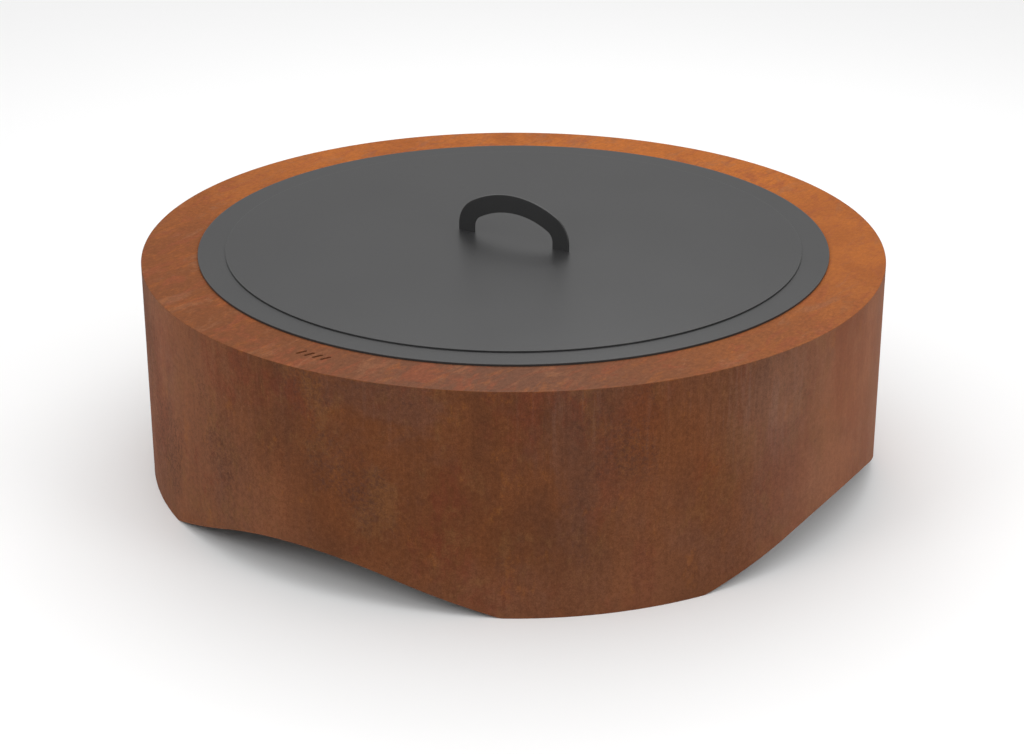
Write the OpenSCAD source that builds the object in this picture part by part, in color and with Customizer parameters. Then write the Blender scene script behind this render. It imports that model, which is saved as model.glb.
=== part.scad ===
// Round weathering-steel fire pit. A drum with four shallow arches in its lower
// edge carries a steel bowl that hangs by its flange from the drum's top ring.
// A loose log grate stands in the bowl, and a flat lid with an arch handle
// covers it. The drum, the bowl, the grate and the lid lift apart upwards.
//
// Millimetres, +Z up. The origin is on the ground, on the drum's axis.
// +X runs along the lid's handle, and -Y is the front.

/* [Drum] */
// Outside diameter of the drum
drum_d = 1000; // [960:10:1200]
// Height of the drum, top ring included
drum_h = 300; // [290:5:400]
// Thickness of the drum's rolled sheet and of its top ring
sheet_t = 3; // [2:0.5:4]
// Diameter of the hole in the top ring
ring_hole_d = 756; // [754:1:800]
// Width of one arch in the lower edge, in degrees round the drum
arch_angle = 60; // [56:1:66]
// Height of an arch above the ground
arch_h = 61.5; // [50:0.5:65]
// Radius of an arch's crown, measured on the flat sheet
arch_crown_r = 430; // [300:10:450]
// Radius of the corners between the arches and the feet
foot_corner_r = 30; // [5:5:60]
// Radial length of a gusset under the top ring
gusset_l = 60; // [40:5:70]
// Height of a gusset
gusset_h = 60; // [40:5:80]
// Width of the backing strip inside the drum's butt seam
seam_w = 60; // [40:5:80]

/* [Ornament in the top ring] */
// Distance of the row of slots from the drum's axis
slot_row_r = 458; // [450:1:470]
// Length of one slot, round ends included
slot_l = 15; // [12:1:20]
// Width of one slot
slot_w = 4; // [3:0.5:5]

/* [Bowl] */
// Inside diameter of the bowl at its mouth
mouth_d = 740; // [730:1:740]
// Depth of the bowl, from the top ring to the inside of its floor
bowl_depth = 200; // [190:5:210]
// Thickness of the bowl's steel
bowl_t = 3; // [2:0.5:4]
// Outside diameter of the flange that the bowl hangs by
flange_d = 850; // [830:5:900]
// Thickness of the flange
flange_t = 3; // [2:0.5:5]
// Diameter of the rainwater drain in the bowl's floor
drain_d = 16; // [10:1:30]

/* [Grate] */
// Outside diameter of the grate's hoop
grate_d = 430; // [420:5:440]
// Height of the hoop's lower edge above the bowl's floor
grate_lift = 64; // [64:1:80]
// Height of the hoop's flat bar
hoop_h = 25; // [24:1:30]
// Thickness of the hoop's flat bar
hoop_t = 6; // [4:1:8]
// Diameter of a fire bar
bar_d = 12; // [10:1:14]
// Distance between fire bars
bar_pitch = 40; // [36:1:42]
// Width of the two flat cross bars under the fire bars
cross_w = 30; // [20:1:40]
// Thickness of a cross bar
cross_t = 6; // [4:1:6]
// Distance of the cross bars and of the legs from the middle
leg_place = 110; // [100:1:120]
// Diameter of a leg
leg_d = 14; // [10:1:18]

/* [Lid] */
// Diameter of the lid
lid_d = 777; // [770:1:810]
// Thickness of the lid's sheet
lid_t = 2; // [2:0.5:3]
// Outside diameter of the locating hoop under the lid
lid_hoop_d = 710; // [690:1:712]
// Height of the locating hoop
lid_hoop_h = 20; // [15:1:20]
// Thickness of the locating hoop and of the stiffener
lid_bar_t = 4; // [3:1:5]
// Width of the stiffener that the handle is welded to
stiffener_w = 30; // [25:1:50]

/* [Handle] */
// Width of the arch handle over its legs
handle_w = 174; // [160:2:190]
// Height of the handle above the lid
handle_h = 63; // [60:1:75]
// Width of the handle's band
handle_band = 25; // [20:1:28]
// Thickness of the handle's plate
handle_t = 3; // [2:0.5:6]
// Outside radius of the handle's top
handle_top_r = 130; // [120:5:150]
// Outside radius of the handle's shoulders
handle_shoulder_r = 42; // [36:1:45]
// Width of the tabs that pass through the lid
tab_w = 15; // [10:1:18]

/* [Hidden] */
$fn = 180;
past = 1;                        // how far a cut runs past the face it opens
fit_gap = 0.3;                   // gap between pieces that only rest on each other
tab_gap = 0.1;                   // gap round a handle tab in its slot

GUSSETS = 8;
BARS = 9;
LEGS = 4;
CROSS_BARS = 2;
SLOTS = 4;
ARCHES = 4;

drum_r = drum_d / 2;
drum_inner_r = drum_r - sheet_t;
ring_z = drum_h - sheet_t;
gusset_snipe = 12;               // corner cut off a gusset to clear the ring's weld
gusset_toe = 8;                  // blunt height or width left at a gusset's tips
seam_angle = 135;                // the seam is over the left rear foot
seam_end_gap = 10;               // bare length above and below the backing strip

// An arch on the flat sheet: a round crown, straight flanks that point at the
// ground arch_half_l from the middle, and a rounded corner into each foot.
arch_half_l = drum_r * PI * arch_angle / 360;
crown_drop = arch_crown_r - arch_h;
flank_slope = asin(arch_crown_r / norm([arch_half_l, crown_drop])) - atan(crown_drop / arch_half_l);
crown_half_l = arch_crown_r * sin(flank_slope);
arch_end_l = arch_half_l + foot_corner_r * tan(flank_slope / 2);
flank_end_l = arch_end_l - foot_corner_r * sin(flank_slope);
arch_steps = 40;                 // along the crown and the flanks
corner_steps = 4;                // along each foot corner

slot_pitch = 12;
slot_lean = 25;

// The bowl is a cap cut from a hollow sphere.
mouth_r = mouth_d / 2;
bowl_r = (mouth_r * mouth_r + bowl_depth * bowl_depth) / (2 * bowl_depth);
bowl_floor_z = drum_h - bowl_depth;
bowl_centre_z = bowl_floor_z + bowl_r;

hoop_r = grate_d / 2;
hoop_inner_r = hoop_r - hoop_t;
hoop_z = bowl_floor_z + grate_lift;
cross_z = hoop_z + 2;
bar_z = cross_z + cross_t + bar_d / 2;
leg_reach = norm([leg_place, leg_place]) + leg_d / 2;
leg_z = bowl_centre_z - sqrt(bowl_r * bowl_r - leg_reach * leg_reach) + fit_gap;

lid_z = drum_h + flange_t;
lid_top_z = lid_z + lid_t;
lid_hoop_inner_r = lid_hoop_d / 2 - lid_bar_t;
tab_h = lid_t + lid_bar_t;
tab_x = handle_w / 2 - handle_band / 2;

// A flat ring or a tube that stands on z
module tube(outer_r, inner_r, z, h) {
    translate([0, 0, z]) difference() {
        cylinder(r = outer_r, h = h);
        translate([0, 0, -past]) cylinder(r = inner_r, h = h + 2 * past);
    }
}

// Cuts its children off at the inside of a hoop, so that their ends fit it
module inside_hoop(inner_r, z, h) {
    intersection() {
        children();
        translate([0, 0, z]) cylinder(r = inner_r, h = h);
    }
}

// Height of an arch at a distance from its middle along the flat sheet
function arch_z(s) =
    abs(s) < crown_half_l ? sqrt(arch_crown_r * arch_crown_r - s * s) - crown_drop
    : abs(s) < flank_end_l ? (arch_half_l - abs(s)) * tan(flank_slope)
    : foot_corner_r - sqrt(foot_corner_r * foot_corner_r - pow(arch_end_l - abs(s), 2));

// Sideways place on the rolled drum of a distance along the flat sheet
function rolled(s) = drum_r * sin(s / drum_r * 180 / PI);

// The outline of an arch as it is seen straight from outside the drum
module arch_outline() {
    corner_l = arch_end_l - flank_end_l;
    places = concat(
        [for (i = [0:corner_steps - 1]) -arch_end_l + corner_l * i / corner_steps],
        [for (i = [0:arch_steps]) flank_end_l * (2 * i / arch_steps - 1)],
        [for (i = [1:corner_steps]) flank_end_l + corner_l * i / corner_steps]
    );
    edge = [for (s = places) [rolled(s), arch_z(s)]];
    polygon(concat([[rolled(-arch_end_l), -past]], edge, [[rolled(arch_end_l), -past]]));
}

module arch_cut() {
    depth = drum_r * (1 - cos(arch_angle / 2)) + 12 * sheet_t;
    translate([drum_r - depth, 0, 0])
        rotate([90, 0, 90])
        linear_extrude(depth + past)
        arch_outline();
}

module skirt() {
    color("#8a5030") difference() {
        tube(drum_r, drum_inner_r, 0, ring_z);
        for (i = [0:ARCHES - 1])
            rotate([0, 0, 360 * i / ARCHES]) arch_cut();
    }
}

module seam_strip() {
    strip_angle = seam_w / drum_inner_r * 180 / PI;
    color("#7a452b")
        rotate([0, 0, seam_angle - strip_angle / 2])
        rotate_extrude(angle = strip_angle)
        translate([drum_inner_r - sheet_t, seam_end_gap])
        square([sheet_t, ring_z - 2 * seam_end_gap]);
}

module slot() {
    straight = slot_l - slot_w;
    translate([-slot_w / 2, -straight / 2]) square([slot_w, straight]);
    translate([0, straight / 2]) circle(d = slot_w);
    translate([0, -straight / 2]) circle(d = slot_w);
}

module top_ring() {
    color("#a8653a") difference() {
        tube(drum_r, ring_hole_d / 2, ring_z, sheet_t);
        for (i = [0:SLOTS - 1])
            translate([(i - (SLOTS - 1) / 2) * slot_pitch, -slot_row_r, ring_z - past])
            rotate([0, 0, -slot_lean])
            linear_extrude(sheet_t + 2 * past)
            slot();
    }
}

module gusset(i) {
    outer = drum_inner_r;
    inner = outer - gusset_l;
    angle = 360 * (i - 0.5) / GUSSETS;
    color("#7a452b")
        rotate([0, 0, angle])
        inside_hoop(outer, ring_z - gusset_h, gusset_h)
        translate([0, sheet_t / 2, 0])
        rotate([90, 0, 0])
        linear_extrude(sheet_t)
        polygon([
            [inner, ring_z],
            [inner, ring_z - gusset_toe],
            [outer - gusset_toe, ring_z - gusset_h],
            [outer + past, ring_z - gusset_h],
            [outer + past, ring_z - gusset_snipe],
            [outer, ring_z - gusset_snipe],
            [outer - gusset_snipe, ring_z]
        ]);
}

module bowl_shell() {
    color("#2c2b2a") difference() {
        intersection() {
            translate([0, 0, bowl_centre_z]) sphere(r = bowl_r + bowl_t);
            cylinder(r = drum_r, h = drum_h);
        }
        translate([0, 0, bowl_centre_z]) sphere(r = bowl_r);
        cylinder(d = drain_d, h = drum_h);
    }
}

module bowl_flange() {
    color("#3a3a3a") tube(flange_d / 2, mouth_r, drum_h, flange_t);
}

module grate_hoop() {
    color("#4a4643") tube(hoop_r, hoop_inner_r, hoop_z, hoop_h);
}

module grate_bar(i) {
    color("#54504c")
        inside_hoop(hoop_inner_r, hoop_z, hoop_h)
        translate([(i - (BARS + 1) / 2) * bar_pitch, hoop_r, bar_z])
        rotate([90, 0, 0])
        cylinder(d = bar_d, h = 2 * hoop_r);
}

module grate_cross_bar(i) {
    side = 2 * i - 3;
    color("#4a4643")
        inside_hoop(hoop_inner_r, hoop_z, hoop_h)
        translate([-hoop_r, side * leg_place - cross_w / 2, cross_z])
        cube([2 * hoop_r, cross_w, cross_t]);
}

module grate_leg(i) {
    color("#54504c")
        rotate([0, 0, 360 * (i - 1) / LEGS])
        translate([leg_place, leg_place, leg_z])
        cylinder(d = leg_d, h = cross_z - leg_z);
}

// The places of the handle's two tabs, grown by a gap
module tabs(z, h, gap) {
    for (side = [-1, 1])
        translate([side * tab_x - tab_w / 2 - gap, -handle_t / 2 - gap, z])
        cube([tab_w + 2 * gap, handle_t + 2 * gap, h]);
}

module lid_plate() {
    color("#4c4c4d") difference() {
        translate([0, 0, lid_z]) cylinder(d = lid_d, h = lid_t);
        tabs(lid_z - past, lid_t + 2 * past, tab_gap);
    }
}

module lid_hoop() {
    color("#3a3a3a") tube(lid_hoop_d / 2, lid_hoop_inner_r, lid_z - lid_hoop_h, lid_hoop_h);
}

module lid_stiffener() {
    color("#3a3a3a") difference() {
        inside_hoop(lid_hoop_inner_r, lid_z - lid_bar_t, lid_bar_t)
            translate([-lid_hoop_d / 2, -stiffener_w / 2, lid_z - lid_bar_t])
            cube([lid_hoop_d, stiffener_w, lid_bar_t]);
        tabs(lid_z - lid_bar_t - past, lid_bar_t + 2 * past, tab_gap);
    }
}

// The area inside the handle's outline when the outline is set in by a distance.
// The top and the shoulders keep their centres, so the band's width is constant.
module handle_outline(set_in) {
    half_w = handle_w / 2 - set_in;
    top_r = handle_top_r - set_in;
    shoulder_r = handle_shoulder_r - set_in;
    shoulder_x = handle_w / 2 - handle_shoulder_r;
    top_z = handle_h - handle_top_r;
    between = handle_top_r - handle_shoulder_r;
    shoulder_z = top_z + sqrt(between * between - shoulder_x * shoulder_x);
    reach = handle_top_r / between;
    intersection() {
        translate([-half_w, 0]) square([2 * half_w, handle_h]);
        union() {
            intersection() {
                translate([0, top_z]) circle(r = top_r);
                translate([0, top_z]) polygon([
                    [0, 0],
                    [reach * shoulder_x, reach * (shoulder_z - top_z)],
                    [0, 2 * handle_top_r],
                    [-reach * shoulder_x, reach * (shoulder_z - top_z)]
                ]);
            }
            for (side = [-1, 1])
                translate([side * shoulder_x, shoulder_z]) circle(r = shoulder_r);
            translate([-half_w, 0]) square([2 * half_w, shoulder_z]);
        }
    }
}

module lid_handle() {
    color("#262626") {
        translate([0, handle_t / 2, lid_top_z])
            rotate([90, 0, 0])
            linear_extrude(handle_t)
            difference() {
                handle_outline(0);
                handle_outline(handle_band);
            }
        tabs(lid_top_z - tab_h, tab_h, 0);
    }
}

skirt();
seam_strip();
top_ring();
for (i = [1:GUSSETS])
    gusset(i);
bowl_shell();
bowl_flange();
grate_hoop();
for (i = [1:BARS])
    grate_bar(i);
for (i = [1:CROSS_BARS])
    grate_cross_bar(i);
for (i = [1:LEGS])
    grate_leg(i);
lid_plate();
lid_hoop();
lid_stiffener();
lid_handle();
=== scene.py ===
"""The looks of a round weathering-steel fire pit with a black bowl, grate and lid.

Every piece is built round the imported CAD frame, in metres, +Z up. The origin is
on the ground on the drum's axis, +X runs along the lid's handle and -Y is the front.
"""
import math

import bmesh
import bpy
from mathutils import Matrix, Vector


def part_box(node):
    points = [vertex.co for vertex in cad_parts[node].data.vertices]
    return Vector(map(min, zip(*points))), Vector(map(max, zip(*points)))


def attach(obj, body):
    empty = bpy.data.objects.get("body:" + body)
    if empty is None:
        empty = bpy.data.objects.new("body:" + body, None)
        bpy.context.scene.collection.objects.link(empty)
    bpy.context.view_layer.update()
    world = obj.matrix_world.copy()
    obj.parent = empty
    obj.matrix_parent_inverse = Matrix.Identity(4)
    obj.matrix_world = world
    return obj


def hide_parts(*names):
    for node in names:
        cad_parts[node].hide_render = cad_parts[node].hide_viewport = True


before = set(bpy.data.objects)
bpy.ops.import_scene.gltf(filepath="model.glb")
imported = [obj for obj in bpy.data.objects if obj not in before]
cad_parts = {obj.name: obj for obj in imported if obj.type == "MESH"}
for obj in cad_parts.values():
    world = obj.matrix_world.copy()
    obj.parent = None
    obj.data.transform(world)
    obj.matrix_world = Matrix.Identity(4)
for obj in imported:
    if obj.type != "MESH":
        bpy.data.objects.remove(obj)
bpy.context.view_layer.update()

TURN = 2 * math.pi
UP = Vector((0, 0, 1))

# The view: the camera stands to the right of the front, outside the drum.
VIEW_AZIMUTH = math.radians(31.71)
VIEW_DISTANCE = 2.9883      # from the drum's axis, level
VIEW_HEIGHT = 1.3957        # above the ground
VIEW_PITCH = math.radians(23.395)
VIEW_YAW = math.radians(31.749)
LENS = 82.379               # mm
SENSOR_WIDTH = 36           # mm

# The lower edge of the skirt, on the flat sheet, and the strip inside its seam
ARCHES = 4
ARCH_ANGLE = math.radians(60)
ARCH_HEIGHT = 0.0615
CROWN_RADIUS = 0.430
FOOT_CORNER_RADIUS = 0.030
SKIRT_COLUMNS = 1440
SEAM_STRIP_HALF_WIDTH = 0.030

# The arch handle's outline
HANDLE_BAND = 0.025
HANDLE_TOP_RADIUS = 0.130
HANDLE_SHOULDER_RADIUS = 0.042
TAB_HALF_WIDTH = 0.0075     # of the handle's tabs, below the lid's plate
TAB_GAP = 0.0001            # from the top of a tab to the top of the lid's plate

# How finely things are turned, and how edges are finished
ROUND_STEPS = 720           # sides of the large circles
BOWL_STEPS = 360            # sides of the bowl and of the grate's hoop
SHARP_ANGLE = math.radians(38)
MERGE_DISTANCE = 1e-6       # points closer than this become one
SHEET_EDGE = 0.0005         # radius of the edges of most sheets
RING_EDGE = 0.0006
GUSSET_EDGE = 0.0004
LID_BAR_EDGE = 0.0008       # the lid's hoop and stiffener
HOOP_EDGE = 0.001
CROSS_BAR_EDGE = 0.0012
CRISP_EDGE = 0.00005        # radius of an edge that stays square
HOLD = 0.0004               # from a rounded corner to the row that keeps a face flat
WORN = 0.005                # width of the worn band along an edge


# ---------------------------------------------------------------- measuring

def radii(node):
    """Smallest and largest distance of a CAD node's corners from the drum's axis."""
    spans = [math.hypot(v.co.x, v.co.y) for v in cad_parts[node].data.vertices]
    return min(spans), max(spans)


def heights(node):
    """Lowest and highest z of a CAD node."""
    lo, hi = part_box(node)
    return lo.z, hi.z


def round_place(radius, angle, z):
    """The point at a radius and an angle round the drum's axis."""
    return Vector((radius * math.cos(angle), radius * math.sin(angle), z))


def numbered(stem):
    """The names of the CAD nodes stem_1, stem_2 and so on, in order."""
    found = [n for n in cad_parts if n.startswith(stem + "_")]
    return sorted(found, key=lambda n: int(n.rsplit("_", 1)[1]))


# ------------------------------------------------------------------ meshes

def new_mesh():
    """An empty bmesh whose points carry their wear, from 0 to 1."""
    bm = bmesh.new()
    bm.verts.layers.float.new("wear")
    return bm


def finish_mesh(bm, name, material):
    """Turns a bmesh into an object with smooth faces and sharp corners."""
    bmesh.ops.remove_doubles(bm, verts=bm.verts, dist=MERGE_DISTANCE)
    bmesh.ops.recalc_face_normals(bm, faces=bm.faces)
    for face in bm.faces:
        face.smooth = True
    for edge in bm.edges:
        edge.smooth = edge.calc_face_angle(0) < SHARP_ANGLE
    mesh = bpy.data.meshes.new(name)
    bm.to_mesh(mesh)
    bm.free()
    mesh.materials.append(material)
    piece = bpy.data.objects.new(name, mesh)
    bpy.context.scene.collection.objects.link(piece)
    return piece


def add_grid(bm, rows, close_rows=True):
    """Faces between rows of points. A point is x, y, z and, if it has any, its wear."""
    wear = bm.verts.layers.float["wear"]
    made = []
    for row in rows:
        verts = []
        for point in row:
            vert = bm.verts.new(point[:3])
            vert[wear] = point[3] if len(point) > 3 else 0
            verts.append(vert)
        made.append(verts)
    row_count, column_count = len(made), len(made[0])
    for i in range(row_count if close_rows else row_count - 1):
        here, there = made[i], made[(i + 1) % row_count]
        for j in range(column_count):
            k = (j + 1) % column_count
            bm.faces.new((here[j], here[k], there[k], there[j]))
    return made


def add_caps(bm, rows):
    """Closes both ends of a grid with a fan round the middle of each."""
    for row in (rows[0], rows[-1]):
        centre = bm.verts.new(sum((v.co for v in row), Vector()) / len(row))
        for i, vert in enumerate(row):
            bm.faces.new((vert, row[(i + 1) % len(row)], centre))


def rounded_box(a0, a1, b0, b1, radius, crisp=(), steps=3):
    """A rectangle in (a, b) with rounded corners, as a closed loop of (a, b, wear).

    Corners are numbered anticlockwise from (a1, b1). The crisp ones stay square
    and unworn. Every long side has rows close to its corners, which keep it flat
    and set the width of its worn band.
    """
    loop = []
    corners = [CRISP_EDGE if corner in crisp else radius for corner in range(4)]
    for quarter in range(4):
        here, there = corners[quarter], corners[(quarter + 1) % 4]
        ca = a1 - here if quarter in (0, 3) else a0 + here
        cb = b1 - here if quarter in (0, 1) else b0 + here
        worn_here, worn_there = int(quarter not in crisp), int((quarter + 1) % 4 not in crisp)
        for i in range(steps + 1):
            t = (quarter + i / steps) * TURN / 4
            loop.append((ca + here * math.cos(t), cb + here * math.sin(t), worn_here))
        length = (a1 - a0 if quarter in (0, 2) else b1 - b0) - here - there
        way = ((-1, 0), (0, -1), (1, 0), (0, 1))[quarter]
        a, b, _ = loop[-1]
        stops = []
        if length > 4 * HOLD:
            stops += [(HOLD, worn_here), (length - HOLD, worn_there)]
        if length > 3 * WORN:
            stops += [(WORN, 0), (length - WORN, 0)]
        for along, worn in sorted(stops):
            loop.append((a + way[0] * along, b + way[1] * along, worn))
    return loop


def revolve(bm, outline, steps=ROUND_STEPS):
    """Turns a closed outline of (radius, z, wear) round the axis."""
    turns = [TURN * i / steps for i in range(steps)]
    add_grid(bm, [[(r * math.cos(t), r * math.sin(t), z, w) for r, z, w in outline] for t in turns])


def bar(bm, sections):
    """A closed bar through loops of points."""
    add_caps(bm, add_grid(bm, sections, close_rows=False))


def rod(bm, path, radius_at, up, sides=8, closed=False):
    """A round rod along a path. radius_at gives its radius at a share of the path."""
    count = len(path)
    rows = []
    for i, point in enumerate(path):
        if closed:
            ahead, behind = path[(i + 1) % count], path[i - 1]
        else:
            ahead, behind = path[min(i + 1, count - 1)], path[max(i - 1, 0)]
        along = (ahead - behind).normalized()
        across = along.cross(up).normalized()
        over = across.cross(along)
        radius = radius_at(i / count if closed else i / (count - 1))
        rows.append([
            point + (across * math.cos(t) + over * math.sin(t)) * radius
            for t in (TURN * k / sides for k in range(sides))
        ])
    if closed:
        add_grid(bm, rows)
    else:
        bar(bm, rows)


def weld_bead(bm, path, radius, up, closed=False):
    """A weld bead with the ripples that the arc leaves, tapered at open ends."""
    length = sum((path[i + 1] - path[i]).length for i in range(len(path) - 1))
    ripples = max(2, round(length / (1.6 * radius)))

    def radius_at(share):
        ripple = 1 + 0.09 * math.cos(TURN * ripples * share)
        if closed:
            return radius * ripple
        end = min(share, 1 - share) * length / (1.5 * radius)
        return radius * ripple * max(0.25, math.sin(min(end, 1) * TURN / 4))

    rod(bm, path, radius_at, up, closed=closed)


def plate(bm, corners, place, radius, depth, steps=2):
    """A flat plate with rounded edges. place puts a corner and a depth in the row frame."""
    outline = []
    for i, corner in enumerate(corners):
        before = (corner - corners[i - 1]).normalized()
        after = (corners[(i + 1) % len(corners)] - corner).normalized()
        normal = Vector((before.y + after.y, -before.x - after.x))
        outline.append((corner, normal * (2 / normal.length_squared)))
    rows = []
    for side in (-1, 1):
        levels = [(WORN, depth / 2, 0), (radius + HOLD, depth / 2, 1)]
        for i in range(steps + 1):
            t = TURN / 4 * i / steps
            set_in = radius * (1 - math.sin(t))
            levels.append((set_in, depth / 2 - radius + radius * math.cos(t), 1))
        for set_in, level, worn in levels[::-side]:
            rows.append([(*place(p - n * set_in, side * level), worn) for p, n in outline])
    bar(bm, rows)


# ---------------------------------------------------------------- materials

class Nodes:
    """Short calls for the nodes of one material."""

    def __init__(self, name):
        self.material = bpy.data.materials.new(name)
        self.material.use_nodes = True
        self.tree = self.material.node_tree
        self.shader = self.tree.nodes["Principled BSDF"]
        coordinates = self.tree.nodes.new("ShaderNodeTexCoord")
        self.place = coordinates.outputs["Object"]

    def link(self, source, target):
        """A link from an output to an input."""
        self.tree.links.new(source, target)

    def put(self, value, socket):
        """Links an output to a socket, or sets the socket to a plain value."""
        if isinstance(value, bpy.types.NodeSocket):
            self.link(value, socket)
        else:
            socket.default_value = value

    def squeezed(self, scale):
        """Places scaled along each axis: a scale below 1 draws a pattern out that way."""
        node = self.tree.nodes.new("ShaderNodeMapping")
        node.inputs["Scale"].default_value = scale
        self.link(self.place, node.inputs["Vector"])
        return node.outputs["Vector"]

    def drawn_out(self, angle, stretch):
        """Places stretched along a level direction, for streaks that way."""
        node = self.tree.nodes.new("ShaderNodeMapping")
        node.vector_type = "TEXTURE"
        node.inputs["Rotation"].default_value = (0, 0, angle)
        node.inputs["Scale"].default_value = (stretch, 1, 1)
        self.link(self.place, node.inputs["Vector"])
        return node.outputs["Vector"]

    def shifted(self, vector, offset):
        """Places moved by an offset, so that two noises of one scale differ."""
        node = self.tree.nodes.new("ShaderNodeVectorMath")
        node.operation = "ADD"
        self.link(vector, node.inputs[0])
        node.inputs[1].default_value = offset
        return node.outputs["Vector"]

    def noise(self, vector, scale, detail=3.0, rough=0.55, warp=0.0):
        """Noise from about 0.25 to 0.75, with about as many features to a metre as its scale."""
        node = self.tree.nodes.new("ShaderNodeTexNoise")
        node.inputs["Scale"].default_value = scale
        node.inputs["Detail"].default_value = detail
        node.inputs["Roughness"].default_value = rough
        node.inputs["Distortion"].default_value = warp
        self.link(vector, node.inputs["Vector"])
        return node.outputs["Fac"]

    def range(self, value, low, high, to_low=0.0, to_high=1.0):
        """A smooth step of a value from low to high."""
        node = self.tree.nodes.new("ShaderNodeMapRange")
        node.interpolation_type = "SMOOTHSTEP"
        node.inputs["From Min"].default_value = low
        node.inputs["From Max"].default_value = high
        node.inputs["To Min"].default_value = to_low
        node.inputs["To Max"].default_value = to_high
        self.link(value, node.inputs["Value"])
        return node.outputs["Result"]

    def patches(self, vector, offset, look, low, high):
        """1 where shifted noise is above high, 0 below low. look is its scale, detail and so on."""
        return self.range(self.noise(self.shifted(vector, offset), *look), low, high)

    def math(self, operation, a, b):
        """The sum, difference or product of two values."""
        node = self.tree.nodes.new("ShaderNodeMath")
        node.operation = operation
        self.put(a, node.inputs[0])
        self.put(b, node.inputs[1])
        return node.outputs[0]

    def mix(self, factor, a, b, blend="MIX"):
        """Colour a turned into colour b by a factor."""
        node = self.tree.nodes.new("ShaderNodeMix")
        node.data_type = "RGBA"
        node.blend_type = blend
        self.put(factor, node.inputs[0])
        self.put(a if isinstance(a, bpy.types.NodeSocket) else (*a, 1), node.inputs[6])
        self.put(b if isinstance(b, bpy.types.NodeSocket) else (*b, 1), node.inputs[7])
        return node.outputs[2]

    def tint(self, base, mask, amount, colour):
        """base turned towards a colour where the mask is, by an amount."""
        return self.mix(self.math("MULTIPLY", mask, amount), base, colour)

    def spot(self, base, point, reach, amount, colour):
        """base turned towards a colour round a point, by an amount that fades to its reach."""
        return self.tint(base, self.near(point, reach), amount, colour)

    def shade(self, base, value, low, high):
        """base made darker or lighter by a value from 0 to 1."""
        level = self.range(value, 0.25, 0.75, low, high)
        combine = self.tree.nodes.new("ShaderNodeCombineColor")
        for socket in combine.inputs[:3]:
            self.link(level, socket)
        return self.mix(1.0, base, combine.outputs[0], "MULTIPLY")

    def height(self):
        """The height above the ground."""
        node = self.tree.nodes.new("ShaderNodeSeparateXYZ")
        self.link(self.place, node.inputs[0])
        return node.outputs["Z"]

    def near(self, point, reach):
        """1 at a point of the object's frame, falling to 0 at its reach."""
        node = self.tree.nodes.new("ShaderNodeVectorMath")
        node.operation = "DISTANCE"
        self.link(self.place, node.inputs[0])
        node.inputs[1].default_value = point
        return self.range(node.outputs["Value"], reach, 0)

    def worn(self, amount):
        """The worn band along the edges, broken up by noise."""
        node = self.tree.nodes.new("ShaderNodeAttribute")
        node.attribute_name = "wear"
        patchy = self.noise(self.shifted(self.place, (8, 1, 6)), 70, 5, 0.7)
        both = self.math("ADD", node.outputs["Fac"], self.math("MULTIPLY", patchy, 1.4))
        return self.range(both, 1.9 - amount, 2.1)

    def bump(self, height, distance, strength):
        """Fine relief, a distance deep, on the shader."""
        node = self.tree.nodes.new("ShaderNodeBump")
        node.inputs["Strength"].default_value = strength
        node.inputs["Distance"].default_value = distance
        self.link(height, node.inputs["Height"])
        self.link(node.outputs["Normal"], self.shader.inputs["Normal"])

    def done(self, colour, roughness):
        """Links the last colour and roughness and gives the material."""
        self.link(colour, self.shader.inputs["Base Color"])
        self.link(roughness, self.shader.inputs["Roughness"])
        return self.material


# Colours of the weathering steel on the wall
BROWN = (0.101, 0.038, 0.018)
RUST = (0.137, 0.047, 0.018)
RED_OXIDE = (0.132, 0.032, 0.017)
TAN = (0.165, 0.074, 0.028)
DARK_OXIDE = (0.072, 0.034, 0.024)
GREY_BLOOM = (0.160, 0.100, 0.079)
PLUM = (0.112, 0.052, 0.036)
# also used for the painted sheen at the skirt's sides and the painted bounce light on its foot
PINK_BROWN = (0.262, 0.104, 0.054)
AMBER = (0.255, 0.085, 0.018)
ORANGE_BROWN = (0.174, 0.055, 0.016)
PALE_BROWN = (0.195, 0.096, 0.062)
CLAY = (0.200, 0.078, 0.036)

# Colours of the weathering steel on the top ring
RING_BROWN = (0.182, 0.062, 0.024)
RING_PALE = (0.146, 0.067, 0.042)
RING_TAN = (0.265, 0.112, 0.056)
RING_ORANGE = (0.325, 0.094, 0.022)
# also used for the painted pool of light at the ring's rear right
RING_BRIGHT = (0.412, 0.124, 0.026)
RING_RIGHT = (0.322, 0.102, 0.028)
RING_RED = (0.262, 0.070, 0.032)
RING_DARK = (0.140, 0.062, 0.032)

# Colours of the lid and the flange
PAINT = (0.0285, 0.0285, 0.029)
PAINT_CLOUD = (0.0325, 0.0325, 0.033)
PAINT_MARK = (0.060, 0.058, 0.056)
PAINT_WORN = (0.050, 0.048, 0.046)

# Colours inside the bowl
SOOT = (0.026, 0.025, 0.024)
SOOT_PALE = (0.042, 0.040, 0.038)
DUST = (0.070, 0.066, 0.062)
BURNT = (0.080, 0.047, 0.030)
ASH = (0.200, 0.190, 0.178)

# Colours of the grate and its welds
MILL_SCALE = (0.055, 0.056, 0.060)
MILL_SCALE_PALE = (0.095, 0.092, 0.090)
GRATE_RUST = (0.150, 0.070, 0.035)
WELD_DARK = (0.070, 0.062, 0.058)
WELD_PALE = (0.130, 0.100, 0.080)

RING_LEVEL = 0.3            # height of the top ring's colour places


def front_angle(degrees):
    """An angle round the drum, counted anticlockwise from the middle of the view."""
    return VIEW_AZIMUTH - TURN / 4 + math.radians(degrees)


def on_wall(degrees, height):
    """The place on the skirt's outside at a front angle and a height."""
    return round_place(radii("skirt")[1], front_angle(degrees), height)


def on_ring(degrees, radius):
    """The place on the top ring at a front angle and a radius."""
    return round_place(radius, front_angle(degrees), RING_LEVEL)


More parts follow.
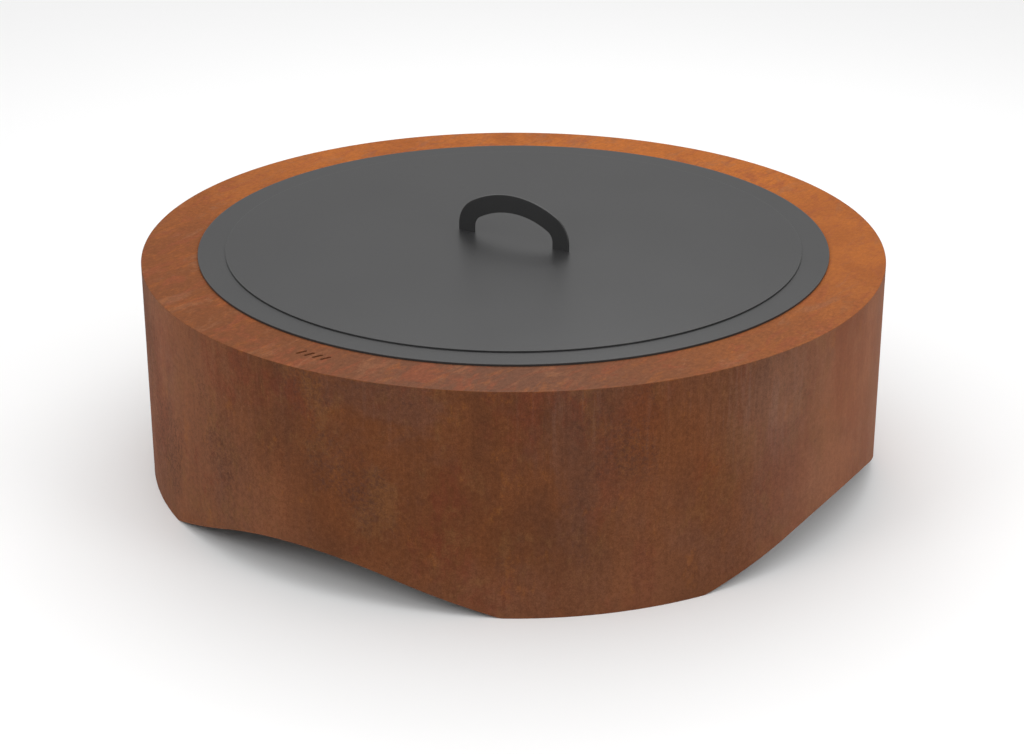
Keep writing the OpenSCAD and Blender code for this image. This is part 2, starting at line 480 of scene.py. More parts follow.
def fine_grain(m, colour, amount):
    """Grain of half a millimetre to six, and dark pits, as a colour and a height."""
    coarse = m.noise(m.place, 160, 6, 0.78)
    fine = m.noise(m.shifted(m.place, (5, 5, 5)), 650, 2, 0.6)
    pits = m.patches(m.place, (2, 6, 9), (820, 3, 0.7), 0.58, 0.68)
    colour = m.shade(colour, coarse, 1 - amount, 1 + amount)
    colour = m.shade(colour, fine, 1 - 0.6 * amount, 1 + 0.6 * amount)
    colour = m.tint(colour, pits, 1.6 * amount, DARK_OXIDE)
    height = m.math("ADD", coarse, m.math("MULTIPLY", fine, 0.6))
    return colour, m.math("SUBTRACT", height, m.math("MULTIPLY", pits, 0.5))


def weathered_wall():
    """Weathering steel with soft upright blotches, dark clouds and fine run marks."""
    m = Nodes("weathered_wall")
    tall = m.squeezed((1, 1, 0.62))
    upright = m.squeezed((1, 1, 0.07))
    colour = m.mix(m.range(m.noise(tall, 5, 5, 0.6), 0.38, 0.62), BROWN, RUST)

    # paler at both sides, partly the patina and partly a painted sheen, then haze,
    # red and tan blotches, two places that are more orange, and amber flecks
    colour = m.spot(colour, on_wall(-76, 0.18), 0.43, 0.62, PINK_BROWN)
    colour = m.spot(colour, on_wall(68, 0.14), 0.42, 0.92, PINK_BROWN)
    colour = m.spot(colour, on_wall(-40, 0.08), 0.14, 0.32, PINK_BROWN)
    haze = m.patches(tall, (9, 3, 5), (6.5, 6, 0.62, 0.5), 0.48, 0.62)
    colour = m.tint(colour, haze, 0.45, PLUM)
    red = m.patches(tall, (3, 1, 0), (11, 9, 0.72, 0.2), 0.48, 0.61)
    colour = m.tint(colour, red, 0.50, RED_OXIDE)
    tan = m.patches(tall, (7, 2, 4), (17, 9, 0.75, 0.2), 0.51, 0.62)
    colour = m.tint(colour, tan, 0.40, TAN)
    colour = m.spot(colour, on_wall(23, 0.22), 0.16, 0.70, ORANGE_BROWN)
    colour = m.spot(colour, on_wall(17, 0.06), 0.18, 0.34, CLAY)
    amber = m.patches(tall, (2, 8, 3), (30, 7, 0.72), 0.57, 0.68)
    colour = m.tint(colour, amber, 0.32, AMBER)

    # tall dark bands
    bands = m.noise(m.shifted(m.squeezed((1, 1, 0.13)), (8, 1, 2)), 24, 5, 0.62)
    colour = m.tint(colour, m.range(bands, 0.50, 0.66), 0.14, DARK_OXIDE)

    # dark speckled clouds, which gather at five places
    clouds = m.noise(m.shifted(tall, (5, 5, 2)), 7, 8, 0.70, 0.3)
    for degrees, height, reach, lift in (
        (-47, 0.16, 0.12, 0.16), (-64, 0.10, 0.13, 0.17), (8, 0.22, 0.13, 0.07),
        (38, 0.22, 0.12, 0.05), (-17, 0.17, 0.13, 0.04),
    ):
        spot = m.near(on_wall(degrees, height), reach)
        clouds = m.math("ADD", clouds, m.math("MULTIPLY", spot, lift))
    dark_place = m.range(clouds, 0.52, 0.68)
    speckle = m.patches(m.place, (1, 2, 3), (200, 5, 0.78), 0.47, 0.57)
    dark = m.math("MULTIPLY", dark_place, m.range(speckle, 0, 1, 0.20, 1.0))
    colour = m.tint(colour, dark, 0.60, DARK_OXIDE)

    # places that are paler or browner than the clouds leave them; the browner one, at
    # the top of the left side, is painted shade
    colour = m.spot(colour, on_wall(-64, 0.22), 0.24, 0.24, PINK_BROWN)
    colour = m.spot(colour, on_wall(47, 0.09), 0.13, 0.42, PALE_BROWN)
    # painted shade: the top of the left side darker
    colour = m.spot(colour, on_wall(-86, 0.26), 0.20, 0.80, BROWN)

    # run marks under the rim, dark and pale, and a grey bloom
    under_rim = m.range(m.height(), 0.15, 0.298)
    streak = m.math("MULTIPLY", m.math("ADD", m.noise(upright, 230, 4, 0.65),
                                       m.noise(m.shifted(upright, (6, 6, 1)), 85, 4, 0.7)), 0.5)
    where = m.patches(m.squeezed((1, 1, 0.3)), (4, 4, 4), (8, 5, 0.6), 0.42, 0.58)
    where = m.math("MULTIPLY", where, under_rim)
    pale_runs = m.math("MULTIPLY", where, m.range(streak, 0.50, 0.62))
    colour = m.tint(colour, pale_runs, 0.15, GREY_BLOOM)
    dark_runs = m.math("MULTIPLY", where, m.range(streak, 0.50, 0.40))
    colour = m.tint(colour, dark_runs, 0.16, DARK_OXIDE)
    bloom = m.near(on_wall(41, 0.24), 0.15)
    colour = m.tint(colour, bloom, 0.34, GREY_BLOOM)
    bloom_runs = m.math("MULTIPLY", bloom, m.range(streak, 0.48, 0.58))
    colour = m.tint(colour, bloom_runs, 0.20, GREY_BLOOM)

    # the foot paler with painted light bounced up from the floor, the worn edges, the grain
    # and a pale veil at the right that is partly patina and partly painted sheen
    # painted light bounced up from the floor: paler towards the ground
    colour = m.tint(colour, m.range(m.height(), 0.10, 0.0), 0.22, PINK_BROWN)
    colour = m.tint(colour, m.worn(0.35), 0.55, AMBER)
    soft = m.noise(m.shifted(tall, (4, 7, 6)), 15, 6, 0.62)
    colour = m.shade(colour, soft, 0.93, 1.07)
    colour = m.shade(colour, streak, 0.93, 1.07)
    colour, grain = fine_grain(m, colour, 0.20)
    # the right side paler: partly patina, partly painted sheen, laid over the grain
    colour = m.spot(colour, on_wall(72, 0.18), 0.36, 0.56, PINK_BROWN)
    m.shader.inputs["Specular IOR Level"].default_value = 0.03
    m.bump(grain, 0.0005, 0.5)
    return m.done(colour, m.range(m.math("ADD", dark, grain), 0.4, 1.8, 0.62, 0.76))


def weathered_ring():
    """The same steel lying flat: brown at the front, more orange to the rear right.

    Rain has drawn its rust into streaks that all lie the same way. The more orange,
    brighter rear right is partly its patina and partly a painted pool of light.
    """
    m = Nodes("weathered_ring")
    streaks = m.drawn_out(VIEW_AZIMUTH + math.radians(57), 2.5)

    # brown at the front, orange at the rear, with an uneven line between them; the
    # brighter rear is partly patina and partly painted light
    split = m.tree.nodes.new("ShaderNodeVectorMath")
    split.operation = "DOT_PRODUCT"
    m.link(m.place, split.inputs[0])
    split.inputs[1].default_value = round_place(1, front_angle(145), 0)
    uneven = m.math("MULTIPLY", m.noise(m.place, 6, 5, 0.6), 0.30)
    rear = m.range(m.math("ADD", split.outputs["Value"], uneven), -0.36, 0.46)
    patches = m.range(m.noise(m.place, 8, 7, 0.65, 0.5), 0.40, 0.60)
    colour = m.mix(patches, RING_ORANGE, RING_BRIGHT)
    colour = m.mix(rear, RING_BROWN, colour)
    colour = m.spot(colour, on_ring(-2, 0.44), 0.36, 0.85, RING_PALE)
    colour = m.spot(colour, on_ring(50, 0.46), 0.30, 0.26, RING_PALE)
    # a painted pool of light at the rear right, over the orange patina there
    colour = m.spot(colour, on_ring(130, 0.46), 0.30, 0.90, RING_BRIGHT)

    # red, tan, bright and dark streaks, then fine lines the same way
    red = m.patches(streaks, (3, 1, 0), (38, 7, 0.70, 0.8), 0.48, 0.62)
    colour = m.tint(colour, red, 0.50, RING_RED)
    tan = m.patches(streaks, (6, 4, 3), (30, 7, 0.72, 0.8), 0.52, 0.64)
    colour = m.tint(colour, tan, 0.46, RING_TAN)
    amber = m.patches(streaks, (1, 7, 2), (55, 7, 0.72, 0.4), 0.52, 0.66)
    colour = m.tint(colour, amber, 0.24, RING_BRIGHT)
    dark = m.patches(streaks, (5, 5, 2), (24, 9, 0.76, 0.5), 0.54, 0.68)
    colour = m.tint(colour, dark, 0.20, RING_DARK)
    lines = m.noise(m.shifted(streaks, (2, 2, 8)), 260, 4, 0.7)
    colour = m.shade(colour, lines, 0.87, 1.13)

    # the worn edges, the grain and a more even place at the right
    colour = m.tint(colour, m.worn(0.35), 0.40, RING_DARK)
    colour, grain = fine_grain(m, colour, 0.18)
    colour = m.spot(colour, on_ring(88, 0.46), 0.34, 0.40, RING_RIGHT)
    m.shader.inputs["Specular IOR Level"].default_value = 0.06
    m.bump(m.math("ADD", grain, m.math("MULTIPLY", lines, 0.7)), 0.0005, 0.5)
    return m.done(colour, m.range(grain, 0.4, 1.2, 0.66, 0.78))


def black_paint():
    """Satin heat-proof paint with a very fine orange peel, thinner at the edges."""
    m = Nodes("black_paint")
    cloud = m.noise(m.place, 9, 3)
    marks = m.patches(m.place, (4, 6, 1), (70, 7, 0.75, 0.6), 0.55, 0.72)
    colour = m.mix(cloud, PAINT, PAINT_CLOUD)
    colour = m.tint(colour, marks, 0.12, PAINT_MARK)
    colour = m.tint(colour, m.worn(0.5), 0.35, PAINT_WORN)
    peel = m.noise(m.place, 900, 2, 0.5)
    m.shader.inputs["Specular IOR Level"].default_value = 0.34
    m.bump(peel, 0.00003, 0.5)
    rough = m.math("ADD", cloud, m.math("MULTIPLY", marks, 0.5))
    return m.done(colour, m.range(rough, 0.3, 1.0, 0.32, 0.36))


def bowl_black():
    """Matt heat-proof paint on the pressed bowl: sooty, with ash gathered at the bottom."""
    m = Nodes("bowl_black")
    cloud = m.noise(m.place, 12, 5, 0.6)
    dust = m.patches(m.place, (3, 3, 3), (60, 4, 0.65), 0.45, 0.75)
    colour = m.mix(cloud, SOOT, SOOT_PALE)
    colour = m.tint(colour, dust, 0.35, DUST)
    burnt = m.patches(m.place, (8, 1, 6), (14, 8, 0.70, 0.4), 0.50, 0.62)
    colour = m.tint(colour, burnt, 0.38, BURNT)
    low = m.near((0, 0, heights("bowl_shell")[0] - 0.02), 0.24)
    flakes = m.patches(m.place, (1, 9, 4), (45, 8, 0.72), 0.42, 0.60)
    ash = m.math("MULTIPLY", low, flakes)
    colour = m.tint(colour, ash, 0.75, ASH)
    m.bump(m.noise(m.place, 500, 3, 0.6), 0.00012, 0.5)
    return m.done(colour, m.range(m.math("ADD", dust, ash), 0, 1.2, 0.50, 0.80))


def grate_steel():
    """Hot-rolled bar with blue-grey mill scale and a little brown at the worn places."""
    m = Nodes("grate_steel")
    cloud = m.noise(m.place, 30, 5, 0.6)
    colour = m.mix(cloud, MILL_SCALE, MILL_SCALE_PALE)
    rust = m.patches(m.place, (4, 2, 7), (85, 5, 0.65), 0.58, 0.70)
    colour = m.tint(colour, rust, 0.55, GRATE_RUST)
    pits = m.noise(m.place, 380, 3, 0.6)
    colour = m.shade(colour, pits, 0.88, 1.12)
    m.shader.inputs["Metallic"].default_value = 0.35
    m.bump(pits, 0.00015, 0.5)
    return m.done(colour, m.range(rust, 0, 1, 0.42, 0.70))


def weld_metal():
    """Bare weld, darker than the bars, with heat colours in the ripples."""
    m = Nodes("weld_metal")
    cloud = m.noise(m.place, 140, 4, 0.6)
    colour = m.mix(cloud, WELD_DARK, WELD_PALE)
    m.shader.inputs["Metallic"].default_value = 0.5
    m.bump(m.noise(m.place, 700, 2), 0.0001, 0.4)
    return m.done(colour, m.range(cloud, 0.3, 0.7, 0.38, 0.55))


WALL = weathered_wall()
RING = weathered_ring()
BLACK = black_paint()
BOWL_BLACK = bowl_black()
GRATE = grate_steel()
WELD = weld_metal()


def place_piece(bm, name, material, body, slot, *nodes):
    """Makes a piece that rides on its body and, if nodes are given, stands for them."""
    piece = finish_mesh(bm, name, material)
    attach(piece, body)
    if nodes:
        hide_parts(*nodes)
    return piece


def ring_path(radius, z, steps):
    """Points along a level circle round the drum's axis."""
    return [round_place(radius, TURN * i / steps, z) for i in range(steps)]


def straight_path(start, end, steps=30):
    """Points along a straight line."""
    return [start.lerp(end, i / steps) for i in range(steps + 1)]


# --------------------------------------------------------------------- drum

def arch_height(length):
    """Height of an arch at a distance from its middle along the flat sheet."""
    drop = CROWN_RADIUS - ARCH_HEIGHT
    half = radii("skirt")[1] * ARCH_ANGLE / 2
    slope = math.asin(CROWN_RADIUS / math.hypot(half, drop)) - math.atan(drop / half)
    end = half + FOOT_CORNER_RADIUS * math.tan(slope / 2)
    if length < CROWN_RADIUS * math.sin(slope):
        return math.sqrt(CROWN_RADIUS ** 2 - length ** 2) - drop
    if length < end - FOOT_CORNER_RADIUS * math.sin(slope):
        return (half - length) * math.tan(slope)
    if length < end:
        return FOOT_CORNER_RADIUS - math.sqrt(FOOT_CORNER_RADIUS ** 2 - (end - length) ** 2)
    return 0.0


def make_skirt():
    """The rolled sheet with its wavy lower edge, both edges slightly rounded."""
    inner, outer = radii("skirt")
    top = heights("skirt")[1]
    heights_at = {}
    rows = []
    for i in range(SKIRT_COLUMNS):
        t = TURN * i / SKIRT_COLUMNS
        from_arch = (t + math.pi / ARCHES) % (TURN / ARCHES) - math.pi / ARCHES
        key = round(abs(from_arch), 6)
        if key not in heights_at:
            heights_at[key] = arch_height(key * outer)
        loop = rounded_box(inner, outer, heights_at[key], top, SHEET_EDGE, crisp=(0,))
        rows.append([(*round_place(r, t, z), w) for r, z, w in loop])
    bm = new_mesh()
    add_grid(bm, rows)
    place_piece(bm, "skirt_sheet", WALL, "drum", "weathering_steel", "skirt")


SLOTS = 4
SLOT_PITCH = 0.012
SLOT_LENGTH = 0.015
SLOT_WIDTH = 0.004
SLOT_LEAN = math.radians(25)
SLOT_ROW_RADIUS = 0.458
OUTER_BAND = 0.0004         # the wall's colours reach this far in on the ring's outer edge


def make_ring():
    """The top ring, with the ornamental slots cut through it."""
    inner, outer = radii("top_ring")
    low, high = heights("top_ring")
    bm = new_mesh()
    revolve(bm, rounded_box(inner, outer, low, high, RING_EDGE, crisp=(3,)))
    blank = finish_mesh(bm, "ring_blank", RING)
    cutter = finish_mesh(slot_cutter(low, high), "slot_cutter", RING)
    cut = blank.modifiers.new("slots", "BOOLEAN")
    cut.operation = "DIFFERENCE"
    cut.solver = "EXACT"
    cut.object = cutter
    shown = blank.evaluated_get(bpy.context.evaluated_depsgraph_get())
    bm = bmesh.new()
    bm.from_mesh(shown.to_mesh())
    shown.to_mesh_clear()
    bpy.data.objects.remove(cutter)
    bpy.data.objects.remove(blank)
    for face in bm.faces:
        middle = face.calc_center_median()
        face.material_index = int(math.hypot(middle.x, middle.y) > outer - OUTER_BAND)
    piece = place_piece(bm, "top_ring_plate", RING, "drum", "weathering_steel", "top_ring")
    piece.data.materials.append(WALL)


def slot_cutter(low, high):
    """The solids that cut the leaning slots, each a box with two round ends."""
    bm = new_mesh()
    past = 0.002            # how far a cutter stands out of the ring, above and below
    ends = 12               # sides of one round end
    half = (SLOT_LENGTH - SLOT_WIDTH) / 2
    c, s = math.cos(-SLOT_LEAN), math.sin(-SLOT_LEAN)
    for i in range(SLOTS):
        middle = (i - (SLOTS - 1) / 2) * SLOT_PITCH
        outline = []
        for k in range(2 * ends + 2):
            side, step = (1, k) if k <= ends else (-1, k - 1)
            t = math.pi * step / ends
            x = SLOT_WIDTH / 2 * math.cos(t)
            y = side * half + SLOT_WIDTH / 2 * math.sin(t)
            outline.append((middle + c * x - s * y, s * x + c * y - SLOT_ROW_RADIUS))
        bar(bm, [[(x, y, z, 1) for x, y in outline] for z in (low - past, high + past)])
    return bm


GUSSET_THICKNESS = 0.003
GUSSET_TOE = 0.008
GUSSET_SNIPE = 0.012
GUSSET_GAP = 0.00005        # between a gusset and the wall
GUSSET_BEAD = 0.0020
GUSSET_BEAD_INSET = 0.004   # from a weld's end to the end of the edge it is on


def make_gussets():
    """Eight plates under the ring, each with its fillet welds."""
    for number, node in enumerate(numbered("gusset"), 1):
        near = radii(node)[0]
        far = radii("skirt")[0] - GUSSET_GAP
        low, high = heights(node)
        lo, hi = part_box(node)
        angle = math.atan2(lo.y + hi.y, lo.x + hi.x)
        out = round_place(1, angle, 0)
        side = Vector((-out.y, out.x, 0))
        corners = [
            Vector((near, high)), Vector((near, high - GUSSET_TOE)),
            Vector((far - GUSSET_TOE, low)), Vector((far, low)),
            Vector((far, high - GUSSET_SNIPE)), Vector((far - GUSSET_SNIPE, high)),
        ]

        def place(p, level):
            return out * p.x + UP * p.y + side * level

        bm = new_mesh()
        plate(bm, corners, place, GUSSET_EDGE, GUSSET_THICKNESS)
        place_piece(bm, f"gusset_plate_{number}", WALL, "drum", "weathering_steel", node)
        sunk = 0.4 * GUSSET_BEAD
        inset = GUSSET_BEAD_INSET
        bm = new_mesh()
        for hand in (-1, 1):
            level = hand * (GUSSET_THICKNESS / 2 + sunk)
            over = high - sunk
            wall = far - sunk
            weld_bead(bm, straight_path(
                place(Vector((near + inset, over)), level),
                place(Vector((far - GUSSET_SNIPE - inset, over)), level)), GUSSET_BEAD, UP)
            weld_bead(bm, straight_path(
                place(Vector((wall, low + inset)), level),
                place(Vector((wall, high - GUSSET_SNIPE - inset)), level)), GUSSET_BEAD, out)
        place_piece(bm, f"gusset_weld_{number}", WALL, "drum", "weathering_steel")


def make_seam_strip():
    """The backing strip inside the skirt's one butt seam."""
    node = "seam_strip"
    inner, outer = radii(node)
    low, high = heights(node)
    lo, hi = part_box(node)
    middle = math.atan2(lo.y + hi.y, lo.x + hi.x)
    half = SEAM_STRIP_HALF_WIDTH / outer
    loop = rounded_box(inner, outer, low, high, SHEET_EDGE)
    count = 24
    turns = [middle + half * (2 * i / count - 1) for i in range(count + 1)]
    bm = new_mesh()
    bar(bm, [[(*round_place(r, t, z), w) for r, z, w in loop] for t in turns])
    place_piece(bm, "seam_backing", WALL, "drum", "weathering_steel", node)


# --------------------------------------------------------------------- bowl

BOWL_THICKNESS = 0.003
BOWL_BEAD = 0.0018
BOWL_BEAD_STEPS = 2160      # points along the weld, nearly three to each ripple


def make_bowl():
    """The pressed bowl, its flange and the weld between them."""
    mouth, flange = radii("bowl_flange")
    low, high = heights("bowl_flange")
    bottom = heights("bowl_shell")[0]
    drain = radii("bowl_shell")[0]
    thick = BOWL_THICKNESS
    depth = low - (bottom + thick)
    ball = (mouth ** 2 + depth ** 2) / (2 * depth)
    centre = bottom + thick + ball
    rim = math.sqrt((ball + thick) ** 2 - (centre - low) ** 2)
    stations = 60
    inside, outside = [], []
    for i in range(stations + 1):
        share = i / stations
        worn = 1 if share < 0.02 or share > 0.99 else 0
        r_in = drain + (mouth - drain) * share
        r_out = drain + (rim - drain) * share
        inside.append((r_in, centre - math.sqrt(ball ** 2 - r_in ** 2), worn))
        outside.append((r_out, centre - math.sqrt((ball + thick) ** 2 - r_out ** 2), worn))
    bm = new_mesh()
    revolve(bm, outside + inside[::-1], BOWL_STEPS)
    place_piece(bm, "bowl_pressing", BOWL_BLACK, "bowl", "black_paint", "bowl_shell")
    bm = new_mesh()
    revolve(bm, rounded_box(mouth, flange, low, high, SHEET_EDGE))
    place_piece(bm, "bowl_flange_ring", BLACK, "bowl", "black_paint", "bowl_flange")
    bm = new_mesh()
    path = ring_path(rim + 0.3 * BOWL_BEAD, low - 0.5 * BOWL_BEAD, BOWL_BEAD_STEPS)
    weld_bead(bm, path, BOWL_BEAD, UP, closed=True)
    place_piece(bm, "bowl_flange_weld", BOWL_BLACK, "bowl", "black_paint")


# -------------------------------------------------------------------- grate

BEAD = 0.0022               # radius of the grate's weld beads


def make_grate():
    """The log grate: hoop, fire bars, cross bars, legs and their welds."""
    inner, outer = radii("grate_hoop")
    low, high = heights("grate_hoop")
    bm = new_mesh()
    revolve(bm, rounded_box(inner, outer, low, high, HOOP_EDGE), BOWL_STEPS)
    place_piece(bm, "grate_hoop_bar", GRATE, "grate", "grate_steel", "grate_hoop")
    for number, node in enumerate(numbered("grate_bar"), 1):
        make_fire_bar(number, node, inner)
    for number, node in enumerate(numbered("grate_cross_bar"), 1):
        make_cross_bar(number, node, inner)
    for number, node in enumerate(numbered("grate_leg"), 1):
        make_leg(number, node)


def make_fire_bar(number, node, wall):
    """A round bar along Y whose ends are cut to fit the hoop, with a weld at each."""
    lo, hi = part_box(node)
    x, z = (lo.x + hi.x) / 2, (lo.z + hi.z) / 2
    radius = (hi.z - lo.z) / 2
    sides, spans, weld_steps = 32, 24, 64
    around = [(x + radius * math.cos(TURN * k / sides), z + radius * math.sin(TURN * k / sides))
              for k in range(sides)]
    rows = []
    for i in range(spans + 1):
        share = 2 * i / spans - 1
        rows.append([(a, share * math.sqrt(wall ** 2 - a ** 2), b) for a, b in around])
    bm = new_mesh()
    bar(bm, rows)
    place_piece(bm, f"fire_bar_{number}", GRATE, "grate", "grate_steel", node)
    bm = new_mesh()
    for side in (-1, 1):
        path = []
        for k in range(weld_steps):
            a = x + (radius + 0.3 * BEAD) * math.cos(TURN * k / weld_steps)
            b = z + (radius + 0.3 * BEAD) * math.sin(TURN * k / weld_steps)
            path.append(Vector((a, side * (math.sqrt(wall ** 2 - a ** 2) - 0.4 * BEAD), b)))
        weld_bead(bm, path, BEAD, Vector((0, 1, 0)), closed=True)
    place_piece(bm, f"fire_bar_weld_{number}", WELD, "grate", "grate_steel")


def coped_bar(node, wall, radius):
    """A flat bar along X whose ends are cut to fit the inside of a hoop."""
    lo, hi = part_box(node)
    loop = rounded_box(lo.y, hi.y, lo.z, hi.z, radius)
    spans = 20
    rows = []
    for i in range(spans + 1):
        share = 2 * i / spans - 1
        rows.append([(share * math.sqrt(wall ** 2 - y ** 2), y, z, w) for y, z, w in loop])
    bm = new_mesh()
    bar(bm, rows)
    return bm


def make_cross_bar(number, node, wall):
    """A flat bar under the fire bars, welded to the hoop and to every fire bar."""
    lo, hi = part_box(node)
    bm = coped_bar(node, wall, CROSS_BAR_EDGE)
    place_piece(bm, f"cross_bar_{number}", GRATE, "grate", "grate_steel", node)
    bm = new_mesh()
    inset = 0.003           # from a weld's end to the bar's side
    steps = 30
    for side in (-1, 1):
        for level in (lo.z - 0.3 * BEAD, hi.z + 0.3 * BEAD):
            path = []
            for k in range(steps + 1):
                y = lo.y + inset + (hi.y - lo.y - 2 * inset) * k / steps
                path.append(Vector((side * (math.sqrt(wall ** 2 - y ** 2) - 0.4 * BEAD), y, level)))
            weld_bead(bm, path, BEAD, UP)
    reach = 0.010           # half the length of the weld along a fire bar
    middle = (lo.y + hi.y) / 2
    for bar_node in numbered("grate_bar"):
        bar_lo, bar_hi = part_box(bar_node)
        for x in (bar_lo.x + 0.25 * BEAD, bar_hi.x - 0.25 * BEAD):
            start = Vector((x, middle - reach, hi.z + 0.5 * BEAD))
            weld_bead(bm, straight_path(start, start + Vector((0, 2 * reach, 0)), 16),
                      0.8 * BEAD, UP)
    place_piece(bm, f"cross_bar_weld_{number}", WELD, "grate", "grate_steel")


def make_leg(number, node):
    """A round leg with a chamfered foot and a weld ring under its cross bar."""
    lo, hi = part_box(node)
    x, y = (lo.x + hi.x) / 2, (lo.y + hi.y) / 2
    radius = (hi.x - lo.x) / 2
    chamfer = 0.0015
    sides, weld_steps = 40, 64
    outline = [
        (radius - chamfer, lo.z, 1), (radius - 0.4 * chamfer, lo.z + 0.4 * chamfer, 1),
        (radius, lo.z + chamfer, 1), (radius, lo.z + WORN, 0), (radius, hi.z - HOLD, 0),
        (radius - HOLD, hi.z, 0),
    ]
    rows = [[(x + r * math.cos(TURN * k / sides), y + r * math.sin(TURN * k / sides), z, w)
             for k in range(sides)] for r, z, w in outline]
    bm = new_mesh()
    bar(bm, rows)
    place_piece(bm, f"leg_rod_{number}", GRATE, "grate", "grate_steel", node)
    bm = new_mesh()
    circle = ring_path(radius + 0.3 * BEAD, hi.z - 0.4 * BEAD, weld_steps)
    path = [Vector((x, y, 0)) + p for p in circle]
    weld_bead(bm, path, BEAD, UP, closed=True)
    place_piece(bm, f"leg_weld_{number}", WELD, "grate", "grate_steel")


# ---------------------------------------------------------------------- lid

def make_lid():
    """The lid's disc with its rounded edge, its hoop and its stiffener."""
    outer = radii("lid_plate")[1]
    low, high = heights("lid_plate")
    middle = (low + high) / 2
    outline = [p for p in rounded_box(-outer, outer, low, high, SHEET_EDGE) if p[0] > 0]
    rings = 8               # of faces, from the middle to the edge
    outline += [(outer * k / rings, z, 0) for k in range(1, rings) for z in (low, high)]
    outline.sort(key=lambda p: math.atan2(p[1] - middle, p[0] - outer / 2))
    turns = [TURN * i / ROUND_STEPS for i in range(ROUND_STEPS)]
    bm = new_mesh()
    bar(bm, [[(*round_place(r, t, z), w) for t in turns] for r, z, w in outline])
    place_piece(bm, "lid_disc", BLACK, "lid", "black_paint", "lid_plate")

    inner, outer = radii("lid_hoop")
    low, high = heights("lid_hoop")
    bm = new_mesh()
    revolve(bm, rounded_box(inner, outer, low, high, LID_BAR_EDGE))
    place_piece(bm, "lid_hoop_bar", BLACK, "lid", "black_paint", "lid_hoop")
    stitches = 12
    reach = 0.035           # half a stitch, in radians
    bead = 0.0020
    steps = 40
    bm = new_mesh()
    for i in range(stitches):
        middle = TURN * (i + 0.5) / stitches
        turns = [middle + reach * (2 * k / steps - 1) for k in range(steps + 1)]
        path = [round_place(inner - 0.4 * bead, t, high - 0.4 * bead) for t in turns]
        weld_bead(bm, path, bead, UP)
    place_piece(bm, "lid_hoop_stitches", BLACK, "lid", "black_paint")

    bm = coped_bar("lid_stiffener", inner, LID_BAR_EDGE)
    place_piece(bm, "lid_stiffener_bar", BLACK, "lid", "black_paint", "lid_stiffener")


def handle_line():
    """The middle line of the handle's band, with its outward normals, in (x, height)."""
    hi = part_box("lid_handle")[1]
    deck = heights("lid_plate")[1]
    shoulder_x = hi.x - HANDLE_SHOULDER_RADIUS
    top_z = hi.z - HANDLE_TOP_RADIUS
    between = HANDLE_TOP_RADIUS - HANDLE_SHOULDER_RADIUS
    shoulder_z = top_z + math.sqrt(between ** 2 - shoulder_x ** 2)
    lean = math.asin(shoulder_x / between)
    r_top = HANDLE_TOP_RADIUS - HANDLE_BAND / 2
    r_shoulder = HANDLE_SHOULDER_RADIUS - HANDLE_BAND / 2
    steps = 24
    half = [(Vector((shoulder_x + r_shoulder, deck)), Vector((1, 0)))]
    for k in range(steps + 1):
        t = (TURN / 4 - lean) * k / steps
        n = Vector((math.cos(t), math.sin(t)))
        half.append((Vector((shoulder_x, shoulder_z)) + n * r_shoulder, n))
    for k in range(1, steps + 1):
        t = TURN / 4 - lean + lean * k / steps
        n = Vector((math.cos(t), math.sin(t)))
        half.append((Vector((0, top_z)) + n * r_top, n))
    return half + [(Vector((-p.x, p.y)), Vector((-n.x, n.y))) for p, n in half[-2::-1]]


def make_handle():
    """The arch handle, a cut plate with softly rounded edges, and its tabs below."""
    lo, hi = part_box("lid_handle")
    loop = rounded_box(-HANDLE_BAND / 2, HANDLE_BAND / 2, lo.y, hi.y, SHEET_EDGE)
    rows = []
    for point, normal in handle_line():
        row = []
        for across, y, worn in loop:
            p = point + normal * across
            row.append((p.x, y, p.y, worn))
        rows.append(row)
    bm = new_mesh()
    bar(bm, rows)
    tab_x = hi.x - HANDLE_BAND / 2
    deck = heights("lid_plate")[1]
    for side in (-1, 1):
        middle = side * tab_x
        loop = rounded_box(middle - TAB_HALF_WIDTH, middle + TAB_HALF_WIDTH, lo.y, hi.y, SHEET_EDGE)
        bar(bm, [[(a, b, z, w) for a, b, w in loop] for z in (lo.z, deck - TAB_GAP)])
    place_piece(bm, "handle_plate", BLACK, "lid", "black_paint", "lid_handle")


make_skirt()
make_ring()
make_gussets()
make_seam_strip()
make_bowl()
make_grate()
make_lid()
make_handle()


# -------------------------------------------------------------------- stage

FLOOR_RADIUS = 40
FLOOR_COLOUR = (0.90, 0.90, 0.90, 1)
LIGHT_TARGET = Vector((0, 0, 0.25))
WORLD_STRENGTH = 1.15


def from_view(right, back, up):
    """A point given as seen from the camera: right and back of the drum's axis."""
    c, s = math.cos(VIEW_AZIMUTH), math.sin(VIEW_AZIMUTH)
    return Vector((right * c - back * s, right * s + back * c, up))


def make_floor():
    """A plain pale floor, large enough to reach the horizon in every view."""
    bm = bmesh.new()
    bmesh.ops.create_circle(bm, cap_ends=True, segments=96, radius=FLOOR_RADIUS)
    mesh = bpy.data.meshes.new("floor")
    bm.to_mesh(mesh)
    bm.free()
    floor = bpy.data.objects.new("floor", mesh)
    bpy.context.scene.collection.objects.link(floor)
    material = bpy.data.materials.new("floor")
    material.use_nodes = True
    shader = material.node_tree.nodes["Principled BSDF"]
    shader.inputs["Base Color"].default_value = FLOOR_COLOUR
    shader.inputs["Roughness"].default_value = 0.9
    shader.inputs["Specular IOR Level"].default_value = 0.1
    mesh.materials.append(material)


def make_softbox(name, place, width, height, power):
    """A soft rectangle of light, aimed at the drum's axis, just below its top."""
    data = bpy.data.lights.new(name, "AREA")
    data.shape = "RECTANGLE"
    data.size, data.size_y = width, height
    data.energy = power
    light = bpy.data.objects.new(name, data)
    light.location = place
    light.rotation_euler = (place - LIGHT_TARGET).to_track_quat("Z", "Y").to_euler()
    light.visible_camera = False
    bpy.context.scene.collection.objects.link(light)


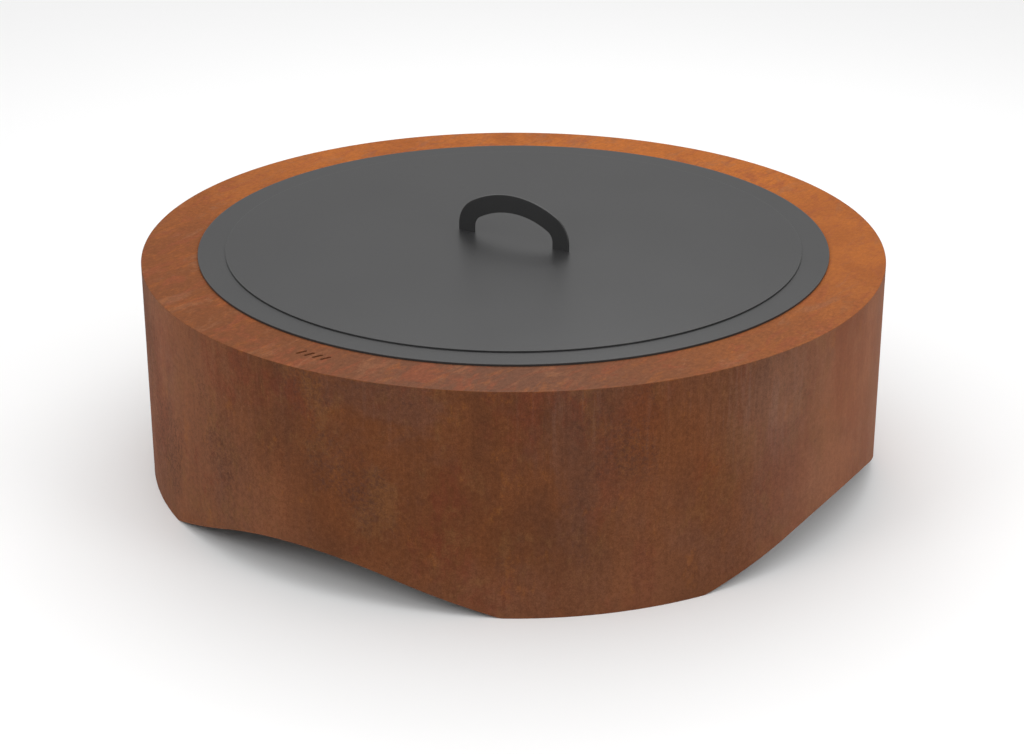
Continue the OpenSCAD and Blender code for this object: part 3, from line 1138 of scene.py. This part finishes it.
def make_world():
    """A studio sweep: near-white at the horizon, dim above it, a bright ceiling."""
    world = bpy.data.worlds.new("studio")
    world.use_nodes = True
    tree = world.node_tree
    coordinates = tree.nodes.new("ShaderNodeTexCoord")
    split = tree.nodes.new("ShaderNodeSeparateXYZ")
    ramp = tree.nodes.new("ShaderNodeValToRGB")
    # the ramp's places are heights on the unit sphere: 0 is the horizon, 1 is overhead
    stops = ramp.color_ramp.elements
    stops[0].position, stops[0].color = 0.0, (0.74, 0.74, 0.74, 1)
    stops[1].position, stops[1].color = 0.70, (1, 1, 1, 1)
    for height, grey in ((0.06, 0.83), (0.09, 0.83), (0.20, 0.35), (0.32, 0.22), (0.45, 0.52)):
        stops.new(height).color = (grey, grey, grey, 1)
    tree.links.new(coordinates.outputs["Generated"], split.inputs[0])
    tree.links.new(split.outputs["Z"], ramp.inputs["Fac"])
    background = tree.nodes["Background"]
    background.inputs["Strength"].default_value = WORLD_STRENGTH
    tree.links.new(ramp.outputs["Color"], background.inputs["Color"])
    bpy.context.scene.world = world


def make_camera():
    """The camera of the photograph, without its lens shift."""
    data = bpy.data.cameras.new("camera")
    data.sensor_width = SENSOR_WIDTH
    data.lens = LENS
    data.clip_start, data.clip_end = 0.05, 200
    camera = bpy.data.objects.new("camera", data)
    camera.location = from_view(0, -VIEW_DISTANCE, VIEW_HEIGHT)
    camera.rotation_euler = (math.pi / 2 - VIEW_PITCH, 0, VIEW_YAW)
    bpy.context.scene.collection.objects.link(camera)
    bpy.context.scene.camera = camera


make_floor()
make_world()
make_softbox("rear_right_softbox", from_view(0.6, 1.2, 1.7), 1.2, 0.9, 5)
make_softbox("rear_left_softbox", from_view(-0.3, 1.5, 1.9), 1.2, 0.9, 5.6)
make_softbox("front_left_softbox", from_view(-1.5, -1.5, 1.5), 0.8, 0.8, 9)
make_softbox("front_right_softbox", from_view(1.5, -1.5, 1.5), 0.8, 0.8, 8.4)
make_camera()
bpy.context.scene.view_settings.view_transform = "Standard"
